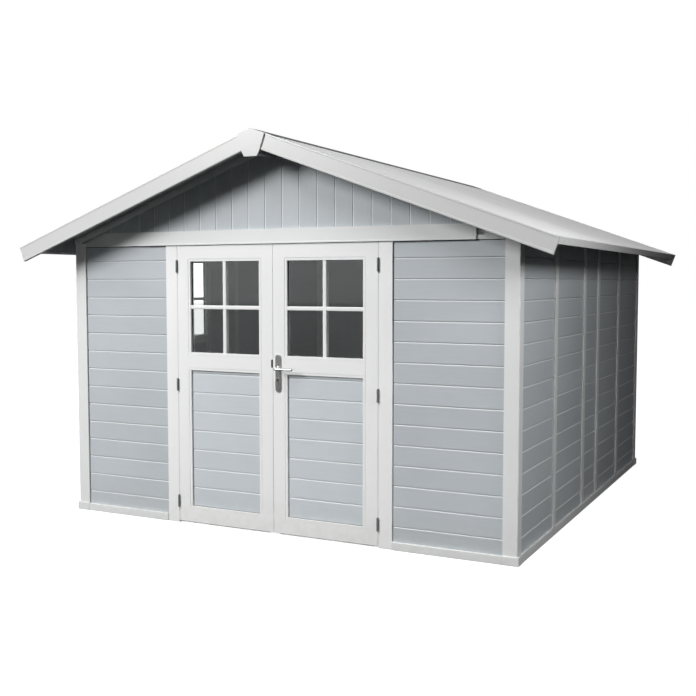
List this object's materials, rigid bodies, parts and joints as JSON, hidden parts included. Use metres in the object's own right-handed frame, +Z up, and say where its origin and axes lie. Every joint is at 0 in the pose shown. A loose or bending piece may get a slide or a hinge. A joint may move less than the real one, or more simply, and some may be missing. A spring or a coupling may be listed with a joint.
{
  "type": "garden shed",
  "caption": "Plastic garden shed with level-boarded walls, a low gabled roof, a side window and a pair of half-glazed outward-opening doors with a lever lock.",
  "frame": {"origin": "on the ground, under the middle of the roof's outline", "axes": "+Z up, +Y from the doors to the rear wall, +X to the right of someone facing the doors"},
  "size_m": [3.696, 3.936, 2.487],
  "materials": {
    "wall_pvc": "semi-matt blue-grey hollow PVC boards",
    "trim_pvc": "satin off-white PVC profile",
    "white_pvc": "smooth white PVC profile",
    "door_panel_pvc": "blue-grey grooved PVC board",
    "roof_pvc": "white PVC roof sheet",
    "glass": "clear pane",
    "grey_metal": "grey powder coat",
    "galvanised_steel": "galvanised",
    "satin_steel": "satin",
    "key_brass": "dull nickel-plated brass",
    "rubber": "black brush and rubber strip"
  },
  "bodies": {
    "root": {"corner_shoes": "trim_pvc", "door_stops": "trim_pvc", "front_barge_boards": "white_pvc", "front_base_rails": "trim_pvc", "front_corner_posts": "trim_pvc", "front_gable": "wall_pvc", "front_header": "trim_pvc", "gable_trims": "trim_pvc", "header_brackets": "trim_pvc", "left_door_jamb": "trim_pvc", "left_eave_trim": "white_pvc", "left_front_panel": "wall_pvc", "left_jamb_hinges": "grey_metal", "left_roof_panels": "roof_pvc", "left_wall_panels": "wall_pvc", "left_wall_posts": "trim_pvc", "rear_barge_boards": "white_pvc", "rear_base_rail": "trim_pvc", "rear_corner_posts": "trim_pvc", "rear_gable": "wall_pvc", "rear_header": "trim_pvc", "rear_wall_panels": "wall_pvc", "rear_wall_posts": "trim_pvc", "ridge_beam": "galvanised_steel", "ridge_cap": "grey_metal", "ridge_end_caps": "white_pvc", "right_door_jamb": "trim_pvc", "right_eave_trim": "white_pvc", "right_front_panel": "wall_pvc", "right_jamb_hinges": "grey_metal", "right_roof_panels": "roof_pvc", "right_wall_panels": "wall_pvc", "right_wall_posts": "trim_pvc", "side_base_rails": "trim_pvc", "wall_plates": "trim_pvc", "window_frame": "white_pvc", "window_glass": "glass"},
    "left_door": {"left_door_frame": "white_pvc", "left_door_panel": "door_panel_pvc", "left_door_glass": "glass", "left_glazing_bars": "white_pvc", "left_door_sweep": "rubber", "left_door_hinges": "grey_metal", "strike_plate": "satin_steel", "bolt_guides": "satin_steel"},
    "right_door": {"right_door_frame": "white_pvc", "right_door_panel": "door_panel_pvc", "right_door_glass": "glass", "right_glazing_bars": "white_pvc", "right_door_sweep": "rubber", "right_door_hinges": "grey_metal", "handle_plates": "satin_steel", "lock_case": "satin_steel"},
    "handle": {"lever_handle": "satin_steel"},
    "latch": {"latch": "satin_steel"},
    "key_plug": {"key_plug": "key_brass"},
    "dead_bolt": {"dead_bolt": "satin_steel"},
    "upper_bolt": {"upper_bolt": "satin_steel"},
    "lower_bolt": {"lower_bolt": "satin_steel"}
  },
  "joints": [
    {"name": "left_door_hinge", "type": "hinge", "parent": "root", "child": "left_door", "pos_m": [-0.72, -1.727, 0.911], "axis": [0, 0, -1], "range_deg": [0, 160]},
    {"name": "right_door_hinge", "type": "hinge", "parent": "root", "child": "right_door", "pos_m": [0.72, -1.727, 0.911], "axis": [0, 0, 1], "range_deg": [0, 160]},
    {"name": "lever_turn", "type": "hinge", "parent": "right_door", "child": "handle", "pos_m": [0.04, -1.72, 1.046], "axis": [0, 1, 0], "range_deg": [0, 40], "stiffness_Nm_per_rad": 1.5, "springref_deg": -34.38},
    {"name": "latch_slide", "type": "slide", "parent": "right_door", "child": "latch", "axis": [1, 0, 0], "range_m": [0, 0.009]},
    {"name": "key_turn", "type": "hinge", "parent": "right_door", "child": "key_plug", "pos_m": [0.04, -1.72, 0.978], "axis": [0, 1, 0], "range_deg": [0, 360]},
    {"name": "dead_bolt_slide", "type": "slide", "parent": "right_door", "child": "dead_bolt", "axis": [-1, 0, 0], "range_m": [0, 0.02]},
    {"name": "upper_bolt_slide", "type": "slide", "parent": "left_door", "child": "upper_bolt", "axis": [0, 0, 1], "range_m": [0, 0.025]},
    {"name": "lower_bolt_slide", "type": "slide", "parent": "left_door", "child": "lower_bolt", "axis": [0, 0, -1], "range_m": [0, 0.025]}
  ],
  "couplings": [
    {"joint": "latch_slide", "follows": "lever_turn", "m_per_rad": 0.01289},
    {"joint": "dead_bolt_slide", "follows": "key_turn", "m_per_rad": 0.003183}
  ]
}
